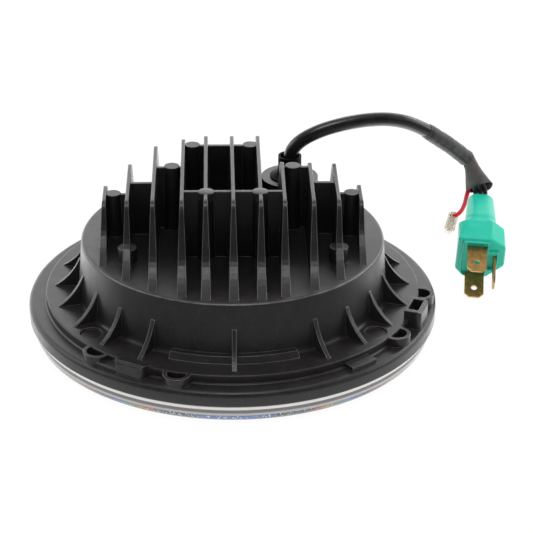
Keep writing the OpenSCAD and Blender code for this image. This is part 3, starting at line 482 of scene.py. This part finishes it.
def turned_pads(name, places, profile, sides):
    """Round pads: the profile's (radius, height) pairs turned about an upright axis at each (x, y)
    place."""
    angle = np.arange(sides) * TAU / sides
    radius, height = np.moveaxis(np.array(profile), 1, 0)[..., None]
    level = np.broadcast_to(height, (len(profile), sides))
    pad = np.stack([radius * np.cos(angle), radius * np.sin(angle), level], -1)
    points, faces = [], []
    for number, (x, y) in enumerate(places):
        points.append((pad + (x, y, 0)).reshape(-1, 3))
        start = number * len(profile) * sides
        faces += (grid_faces(len(profile), sides) + start).tolist()
        faces += [[start + corner for corner in lid] for lid in end_lids(len(profile), sides)]
    return mesh_object(name, MM * np.concatenate(points), faces, cut=50)


fin_pads = turned_pads("fin_pads", PAD_PLACES, PAD_PROFILE, PAD_SIDES)
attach(fin_pads, "root")

# Floor, light and world

WHITE = (1, 1, 1, 1)
FLOOR_REACH = 9


def spread(value, low, high, to_low, to_high):
    """Inputs that carry a value from one range to another and hold it at both ends."""
    return {"Value": value, "From Min": low, "From Max": high, "To Min": to_low, "To Max": to_high}


floor_data = bpy.data.meshes.new("floor")
floor_corners = [(-FLOOR_REACH, -FLOOR_REACH, 0), (FLOOR_REACH, -FLOOR_REACH, 0),
                 (FLOOR_REACH, FLOOR_REACH, 0), (-FLOOR_REACH, FLOOR_REACH, 0)]
floor_data.from_pydata(floor_corners, [], [(0, 1, 2, 3)])
floor = bpy.data.objects.new("floor", floor_data)
bpy.context.scene.collection.objects.link(floor)
floor.location.z = -0.2 * MM

# Studio floor: matt white paper. Seen directly it is plain white with a faint shadow, and through the
# lens it is ordinary matt paper. In mirror images it is bright behind the headlight and close beside
# its lens, and dim before it.
paper, tree = new_material("white_paper")
on_paper = add(tree, "TexCoord", output="Object")
matt = add(tree, "BsdfDiffuse", {"Color": "#efefef"})
faint = add(tree, "BsdfDiffuse", {"Color": "#4a4a4a"})
glow = add(tree, "Emission", {"Color": WHITE, "Strength": 0.95})
shown = add(tree, "AddShader", {0: faint, 1: glow})
away = add(tree, "SeparateXYZ", {0: on_paper}, output="Y")
behind = add(tree, "MapRange", spread(away, -50 * MM, 50 * MM, 0.32, 2.2))
from_middle = add(tree, "VectorMath", {0: on_paper}, output="Value", operation="LENGTH")
beside = add(tree, "MapRange", spread(from_middle, 100 * MM, 125 * MM, 1.0, 0))
mirrored = add(tree, "Math", {0: behind, 1: beside}, operation="ADD")
far_paper = add(tree, "Emission", {"Color": WHITE, "Strength": mirrored})
in_mirror = add(tree, "LightPath", output="Is Glossy Ray")
directly = add(tree, "LightPath", output="Is Camera Ray")
lit = add(tree, "MixShader", {0: in_mirror, 1: matt, 2: far_paper})
add(tree, "OutputMaterial", {"Surface": add(tree, "MixShader", {0: directly, 1: lit, 2: shown})})
place(paper, floor)

# The room: seen directly it is white. In mirror images the photographer's side is dim, the far side
# bright and the ceiling between. Matt surfaces get an even light, a little stronger from above and from
# the far side.
world = bpy.data.worlds.new("studio")
bpy.context.scene.world = world
world.use_nodes = True
tree = world.node_tree
tree.nodes.clear()
heading = add(tree, "TexCoord", output="Generated")
y, z = (add(tree, "SeparateXYZ", {0: heading}, output=axis) for axis in "YZ")
far_side = add(tree, "MapRange", spread(y, -0.75, 0.45, 0.06, 0.95), interpolation_type="SMOOTHSTEP")
far_wall = add(tree, "MapRange", spread(y, 0.45, 0.9, 0, 1.25))
walls = add(tree, "Math", {0: far_side, 1: far_wall}, operation="ADD")
ceiling = add(tree, "MapRange", spread(z, 0.42, 0.6, 1.0, 0.5))
mirrored = add(tree, "Math", {0: walls, 1: ceiling}, operation="MULTIPLY")
from_above = add(tree, "MapRange", spread(z, -0.2, 0.9, 0.8, 1.05))
from_behind = add(tree, "MapRange", spread(y, -1, 1, 0.95, 1.1))
even = add(tree, "Math", {0: from_above, 1: from_behind}, operation="MULTIPLY")
room = add(tree, "Background", {"Color": WHITE, "Strength": even})
image = add(tree, "Background", {"Color": WHITE, "Strength": mirrored})
plain = add(tree, "Background", {"Color": WHITE, "Strength": 1.0})
in_mirror = add(tree, "LightPath", output="Is Glossy Ray")
directly = add(tree, "LightPath", output="Is Camera Ray")
lit = add(tree, "MixShader", {0: in_mirror, 1: room, 2: image})
add(tree, "OutputWorld", {"Surface": add(tree, "MixShader", {0: directly, 1: lit, 2: plain})})

LAMP_AIM = Vector((0, 0, 0.02))


def softbox(name, stand, width, height, watts):
    """A flat soft lamp that looks at the middle of the headlight."""
    data = bpy.data.lights.new(name, "AREA")
    data.shape, data.size, data.size_y, data.energy = "RECTANGLE", width, height, watts
    lamp = bpy.data.objects.new(name, data)
    bpy.context.scene.collection.objects.link(lamp)
    lamp.location = stand
    lamp.rotation_mode = "QUATERNION"
    lamp.rotation_quaternion = (LAMP_AIM - Vector(stand)).to_track_quat("-Z", "Y")


softbox("top_box", (0.0, -0.3, 1.45), 0.42, 0.42, 4.2)
softbox("back_strip", (0.45, 1.25, 1.1), 0.9, 0.12, 1.2)
softbox("right_strip", (1.14, 0.87, 0.92), 0.6, 0.3, 4.0)
softbox("left_box", (-1.1, 0.2, 0.7), 0.6, 0.6, 2.3)
softbox("right_box", (1.2, 0.1, 0.6), 0.6, 0.6, 2.3)


# Materials

def outer_edges(tree, rounded, reach):
    """1 on outer edges and 0 elsewhere: where the rounded normal leaves the surface's own, but not in
    corners and crevices, where much of the air within reach millimetres is shut off."""
    own = add(tree, "NewGeometry", output="Normal")
    turned = add(tree, "VectorMath", {0: rounded, 1: own}, output="Value", operation="DOT_PRODUCT")
    air = add(tree, "AmbientOcclusion", {"Distance": reach * MM}, output="AO", samples=4)
    sharp = add(tree, "MapRange", spread(turned, 0.995, 0.88, 0, 1))
    free = add(tree, "MapRange", spread(air, 0.55, 0.8, 0, 1))
    return add(tree, "Math", {0: sharp, 1: free}, operation="MULTIPLY")


def surface(name, colour, roughness, metallic=0.0, extra=None, bevel=0.0, bump=None, mottle=None, edge=None):
    """A Principled material. bevel is the radius by which edges are shaded round; bump is (grain size, grain
    depth); mottle is (patch size, second colour, change of roughness), all with sizes in millimetres; edge is
    (colour, strength) of a painted highlight on the outer edges, which needs a bevel."""
    material, tree = new_material(name)
    on_piece = add(tree, "TexCoord", output="Object")
    inputs = {"Base Color": colour, "Roughness": roughness, "Metallic": metallic, **(extra or {})}
    if bevel:
        inputs["Normal"] = add(tree, "Bevel", {"Radius": bevel * MM}, samples=6)
    if bump:
        size, depth = bump
        grain = add(tree, "TexNoise", {"Vector": on_piece, "Scale": 1 / (size * MM), "Detail": 3.0,
                                       "Roughness": 0.55})
        relief = {"Height": grain, "Distance": depth * MM, "Strength": 1.0}
        if bevel:
            relief["Normal"] = inputs["Normal"]
        inputs["Normal"] = add(tree, "Bump", relief)
    if mottle:
        size, second, change = mottle
        cloud = add(tree, "TexNoise", {"Vector": on_piece, "Scale": 1 / (size * MM), "Detail": 4.0,
                                       "Roughness": 0.6})
        patch = add(tree, "MapRange", spread(cloud, 0.35, 0.65, 0, 1))
        inputs["Base Color"] = add(tree, "Mix", {0: patch, 6: colour, 7: second}, output=2, data_type="RGBA")
        least, most = roughness - change, roughness + change
        inputs["Roughness"] = add(tree, "MapRange", spread(patch, 0, 1, least, most))
    if edge:
        # Painted highlight: the base colour is mixed towards a pale colour on the outer edges.
        highlight_colour, strength = edge
        rounded = add(tree, "Bevel", {"Radius": bevel * MM}, samples=6)
        highlight_share = add(tree, "Math", {0: outer_edges(tree, rounded, 1.0), 1: strength}, operation="MULTIPLY")
        both = {0: highlight_share, 6: inputs["Base Color"], 7: highlight_colour}
        inputs["Base Color"] = add(tree, "Mix", both, output=2, data_type="RGBA")
    add(tree, "OutputMaterial", {"Surface": add(tree, "BsdfPrincipled", inputs)})
    return material


BOWL_RIM_RADIUS, BOWL_RIM_HEIGHT = 65.1 * MM, 42.7 * MM


def coated_casting():
    """Die-cast aluminium with a satin black coating. The coating's faint orange peel breaks up mirror images.
    Pale grey lines are painted on its sharp edges and along the bowl's upper rim as painted highlights, and
    it is made a little smoother there."""
    material, tree = new_material("satin_black_coated_casting")
    at = add(tree, "TexCoord", output="Object")
    peel = add(tree, "TexNoise", {"Vector": at, "Scale": 1 / (0.9 * MM), "Detail": 4.0, "Roughness": 0.6})
    patches = add(tree, "TexNoise", {"Vector": at, "Scale": 1 / (7 * MM), "Detail": 5.0, "Roughness": 0.65})
    specks = add(tree, "TexNoise", {"Vector": at, "Scale": 1 / (0.55 * MM), "Detail": 1.0})
    grain = add(tree, "TexNoise", {"Vector": at, "Scale": 1 / (0.5 * MM), "Detail": 2.0, "Roughness": 0.7})
    rounded = add(tree, "Bevel", {"Radius": 0.42 * MM}, samples=8)
    # Distance from the rim's ring: how far the place is outside its radius and above its height, taken
    # together.
    flat = add(tree, "VectorMath", {0: at, 1: (1, 1, 0)}, operation="MULTIPLY")
    out = add(tree, "VectorMath", {0: flat}, output="Value", operation="LENGTH")
    up = add(tree, "SeparateXYZ", {0: at}, output="Z")
    aside = add(tree, "Math", {0: out, 1: BOWL_RIM_RADIUS}, operation="SUBTRACT")
    above = add(tree, "Math", {0: up, 1: BOWL_RIM_HEIGHT}, operation="SUBTRACT")
    gap = add(tree, "CombineXYZ", {"X": aside, "Z": above})
    from_rim = add(tree, "VectorMath", {0: gap}, output="Value", operation="LENGTH")
    # Painted highlight: pale lines on the outer edges and along the bowl's upper rim, broken up by the
    # patches.
    rim = add(tree, "MapRange", spread(from_rim, 0.1 * MM, 0.5 * MM, 0.7, 0))
    edge = add(tree, "Math", {0: outer_edges(tree, rounded, 2.0), 1: rim}, operation="MAXIMUM")
    uneven_highlight = add(tree, "MapRange", spread(patches, 0.3, 0.62, 0.35, 1.0))
    painted_edge_highlight = add(tree, "Math", {0: edge, 1: uneven_highlight}, operation="MULTIPLY")
    shares = (add(tree, "MapRange", spread(patches, 0.35, 0.65, 0, 1)),
              add(tree, "MapRange", spread(grain, 0.35, 0.68, 0, 0.55)),
              add(tree, "MapRange", spread(specks, 0.68, 0.78, 0, 0.4)),
              add(tree, "Math", {0: painted_edge_highlight, 1: 0.62}, operation="MULTIPLY"))
    # The black coating, its lighter patches, its grain, its dust and the painted highlights on the edges and
    # the rim, laid over one another.
    colour = "#121112"
    for share, over in zip(shares, ("#1c191a", "#2b2829", "#5a5856", "#8f8d8a")):
        colour = add(tree, "Mix", {0: share, 6: colour, 7: over}, output=2, data_type="RGBA")
    satin = add(tree, "MapRange", spread(patches, 0.35, 0.65, 0.32, 0.40))
    polish = add(tree, "Math", {0: edge, 1: 0.08}, operation="MULTIPLY")
    rough = add(tree, "Math", {0: satin, 1: polish}, operation="SUBTRACT")
    peeled = add(tree, "Bump", {"Height": peel, "Normal": rounded, "Distance": 0.04 * MM, "Strength": 1.0})
    grained = add(tree, "Bump", {"Height": grain, "Normal": peeled, "Distance": 0.02 * MM, "Strength": 1.0})
    inputs = {"Base Color": colour, "Roughness": rough, "Normal": grained}
    add(tree, "OutputMaterial", {"Surface": add(tree, "BsdfPrincipled", inputs)})
    return material


LENS_EDGE_HEIGHT = 8.5 * MM
# Colours painted on the lens's edge from its foot up, by share of the edge's height: bands of painted light
# and shade, with a white painted highlight line near the top.
EDGE_BANDS = [(0, "#6f7782"), (0.28, "#7b828c"), (0.46, "#7f838a"), (0.5, "#c4c6c6"), (0.58, "#b9b9b7"),
              (0.62, "#77726d"), (0.76, "#6f6a66"), (0.8, "#f4f4f4"), (0.92, "#f6f6f6"), (0.94, "#55524f")]
# Colours of the painted streaks of split light, from the front round either side, by share of the half turn.
EDGE_STREAKS = [(0, "#5b86d8"), (0.05, "#5b86d8"), (0.067, "#4a4e60"), (0.111, "#4a4e60"), (0.125, "#c8604a"),
                (0.142, "#c89a60"), (0.156, "#9aa060"), (0.167, "#5aa898"), (0.183, "#5f7fd0"),
                (0.21, "#4a4e60"), (0.244, "#b07068"), (0.267, "#b0a080"), (0.305, "#8a8f98")]


def set_stops(colours, stops):
    """Sets (place, hex colour) stops on the colour ramp that gives these colours, and hands the colours
    back."""
    elements = colours.node.color_ramp.elements
    while len(elements) < len(stops):
        elements.new(0.5)
    for element, (at, _) in zip(elements, stops):
        element.position = at
    for element, (at, colour) in zip(elements, stops):
        element.position, element.color = at, linear(colour)
    return colours


def clear_polycarbonate():
    """Moulded clear polycarbonate. Near its rim, where it seats in the casting's groove, it is rougher and
    less clear, and painted with bands of light and shade, streaks of split light and small white glints near
    the front."""
    material, tree = new_material("clear_polycarbonate")
    at = add(tree, "TexCoord", output="Object")
    x, y, z = (add(tree, "SeparateXYZ", {0: at}, output=axis) for axis in "XYZ")
    flat = add(tree, "VectorMath", {0: at, 1: (1, 1, 0)}, operation="MULTIPLY")
    across = add(tree, "VectorMath", {0: flat}, output="Value", operation="LENGTH")
    rim = add(tree, "MapRange", spread(across, 80.5 * MM, 83.5 * MM, 0, 1))
    height = add(tree, "Math", {0: z, 1: LENS_EDGE_HEIGHT}, operation="DIVIDE")
    forward = add(tree, "Math", {0: y, 1: -1.0}, operation="MULTIPLY")
    turn = add(tree, "Math", {0: x, 1: forward}, operation="ARCTAN2")
    either_side = add(tree, "Math", {0: turn}, operation="ABSOLUTE")
    round_front = add(tree, "Math", {0: either_side, 1: math.pi}, operation="DIVIDE")
    bands = set_stops(add(tree, "ValToRGB", {0: height}), EDGE_BANDS)
    streaks = set_stops(add(tree, "ValToRGB", {0: round_front}), EDGE_STREAKS)
    band_foot = add(tree, "MapRange", spread(height, 0.24, 0.28, 0, 1))
    band_top = add(tree, "MapRange", spread(height, 0.44, 0.48, 1, 0))
    low_band = add(tree, "Math", {0: band_foot, 1: band_top}, operation="MULTIPLY")
    clouds = add(tree, "TexNoise", {"Vector": at, "Scale": 1 / (3 * MM), "Detail": 3.0, "Roughness": 0.7})
    dots = add(tree, "TexNoise", {"Vector": at, "Scale": 1 / (0.9 * MM), "Detail": 1.0})
    broken = add(tree, "MapRange", spread(clouds, 0.38, 0.6, 0.3, 0.9))
    streak_share = add(tree, "Math", {0: low_band, 1: broken}, operation="MULTIPLY")
    near_front = add(tree, "MapRange", spread(round_front, 0.1, 0.2, 1, 0))
    front_band = add(tree, "Math", {0: low_band, 1: near_front}, operation="MULTIPLY")
    spots = add(tree, "MapRange", spread(dots, 0.6, 0.68, 0, 0.9))
    glints = add(tree, "Math", {0: front_band, 1: spots}, operation="MULTIPLY")
    # Painted light on the rim: the height bands, the painted streaks of split light in the low band, and
    # painted white glints near the front.
    colour = add(tree, "Mix", {0: streak_share, 6: bands, 7: streaks}, output=2, data_type="RGBA")
    colour = add(tree, "Mix", {0: glints, 6: colour, 7: "#f4f4ea"}, output=2, data_type="RGBA")
    colour = add(tree, "Mix", {0: rim, 6: "#f6f8f9", 7: colour}, output=2, data_type="RGBA")
    inputs = {"Base Color": colour, "Transmission Weight": add(tree, "MapRange", spread(rim, 0, 1, 1.0, 0.2)),
              "Roughness": add(tree, "MapRange", spread(rim, 0, 1, 0.04, 0.18)), "IOR": 1.585}
    add(tree, "OutputMaterial", {"Surface": add(tree, "BsdfPrincipled", inputs)})
    return material


casting = coated_casting()
clear = clear_polycarbonate()
# Moulded rubber of the cable's boot: matt and very dark.
rubber = surface("black_moulded_rubber", "#0b0b0c", 0.6, extra={"Specular IOR Level": 0.1}, bump=(0.8, 0.01))
# Extruded outer jacket: black plastic with long soft mirror images and a faint waviness.
jacket = surface("glossy_black_cable_jacket", "#0f0e0f", 0.3, extra={"Specular IOR Level": 0.7},
                 bump=(12, 0.02), mottle=(6, "#151415", 0.03))
# Shrunk tubing: satin black, slightly dimpled over what lies below.
shrunk = surface("satin_black_shrunk_tubing", "#2a2728", 0.45, bump=(3.5, 0.06), mottle=(4, "#353233", 0.05))
# The loose end of the tubing was never heated: matt, dusty and lightly wrinkled, so it looks grey.
loose = surface("matt_unshrunk_tubing", "#4a4444", 0.6, bump=(1.1, 0.06), mottle=(3, "#56514f", 0.06))
# The inside of the same tubing is painted nearly black: painted shade where no light falls.
painted_shade_inside = surface("painted_shade_inside_tubing", "#0e0c0c", 0.6, extra={"Specular IOR Level": 0.2})
# Moulded green nylon of the plug: satin, with painted highlights on its edges, and a little light passes into
# it.
green = surface("sea_green_moulded_nylon", "#14b096", 0.4,
                extra={"Subsurface Weight": 0.12, "Subsurface Radius": (0.3, 1.0, 0.8),
                       "Subsurface Scale": 1.5 * MM, "Specular IOR Level": 0.3},
                bevel=0.25, bump=(1.6, 0.012), mottle=(9, "#22b99e", 0.04), edge=("#7fe6d2", 0.6))
# Stamped brass blades, dulled by handling: warm metal with darker tarnish in patches.
brass = surface("stamped_brass", "#bf9356", 0.42, metallic=0.7, bevel=0.12, mottle=(2.2, "#8f7242", 0.08),
                bump=(1.2, 0.01))
# Extruded red insulation of the spare wire: smooth soft plastic.
red = surface("red_wire_insulation", "#c8061c", 0.45, extra={"Specular IOR Level": 0.08}, bump=(2.5, 0.02))
# Soft clear sleeve over the terminal: cloudy moulded plastic, so the metal inside shows only as pale
# patches.
soft_clear = surface("soft_clear_sleeve", "#f3f1ec", 0.2, extra={"Transmission Weight": 0.6, "IOR": 1.3},
                     bump=(2.2, 0.15), mottle=(1.3, "#cdbfa9", 0.05))
# Stamped and tinned brass of the terminal: pale metal, stained brown where the tin is thin.
tin = surface("tinned_terminal", "#d2ccc0", 0.35, metallic=0.6, bevel=0.1, mottle=(1.5, "#94764e", 0.05))
# Moulded ABS of the bezel, sparked to a matt grain: deep black without mirror images.
matt_black = surface("matt_black_moulded_plastic", "#17181a", 0.55, bevel=0.3, bump=(0.7, 0.01))
# Milky acrylic of the light guide: smooth and white, with some light passing through.
milky = surface("milky_light_guide", "#f1f3f2", 0.3, extra={"Transmission Weight": 0.4})
# Printed white solder mask of the light source boards: satin white.
white_mask = surface("white_solder_mask", "#e9ebe6", 0.4)
# Aluminium steamed onto the reflectors in a vacuum: a bright mirror.
mirror = surface("bright_vacuum_coating", "#dfe1e3", 0.08, metallic=1.0)
# Cast silicone with phosphor over the light sources: plain yellow while they are off.
phosphor = surface("yellow_phosphor", "#f2d552", 0.3)
# Filled silicone pad, cut from a sheet: dull grey blue.
pad_grey = surface("grey_heat_pad", "#7d8f9b", 0.7)
# Printed green solder mask of the driver board: smooth and slightly glossy.
green_mask = surface("green_solder_mask", "#1f6b3a", 0.35)
# Pressed and fired ferrite of the coil: dark grey and dull.
ferrite = surface("dark_ferrite", "#3a3a3c", 0.6)
# Shrunk plastic over the capacitors' aluminium cans: dark and smooth.
can = surface("dark_capacitor_can", "#2c2f3a", 0.4)
# Zinc plated steel of the screws: bright grey metal with soft mirror images.
zinc = surface("zinc_plated_screw", "#b9bcc0", 0.35, metallic=1.0)
# Extruded black insulation of the single wires: smooth and dark.
wire_black = surface("black_wire_insulation", "#231f1f", 0.4)
# Cured sealing bead in the lens's groove: dull dark grey.
seal = surface("cured_sealing_bead", "#3b3b3d", 0.6)

FINISHES = {
    "rear_housing": casting, "front_lens": clear, "lens_seal": seal, "bezel": matt_black,
    "light_ring": milky, "ring_board": white_mask, "low_beam_reflector": mirror,
    "high_beam_reflector": mirror, "led_board": white_mask, "led_emitters": phosphor,
    "heat_pad": pad_grey, "driver_board": green_mask,
    "driver_coil": ferrite, "driver_capacitors": can, "board_screws": zinc, "reflector_screws": zinc,
    "inner_leads": wire_black, "cable_grommet": rubber, "blade_upper": brass, "blade_lower": brass,
    "blade_side": brass}
for node_name, finish in FINISHES.items():
    place(finish, nodes[node_name])
for finish, piece in ((jacket, cable), (red, red_wire), (shrunk, shrink_sleeve), (loose, loose_sleeve),
                      (casting, fin_pads), (wire_black, plug_leads), (green, plug_body),
                      (soft_clear, terminal_cover), (tin, terminal_crimp)):
    place(finish, piece)
# The loose sleeve's faces are its outer skin, then its inner one, which gets the painted shade, then its two
# rims.
skin_faces = (SLEEVE_ALONG - 1) * SLEEVE_AROUND
painted_shade_faces = np.zeros(len(loose_sleeve.data.polygons), np.int32)
painted_shade_faces[skin_faces:2 * skin_faces] = 1
loose_sleeve.data.materials.append(painted_shade_inside)
loose_sleeve.data.polygons.foreach_set("material_index", painted_shade_faces)

bpy.context.scene.view_settings.view_transform = "Standard"
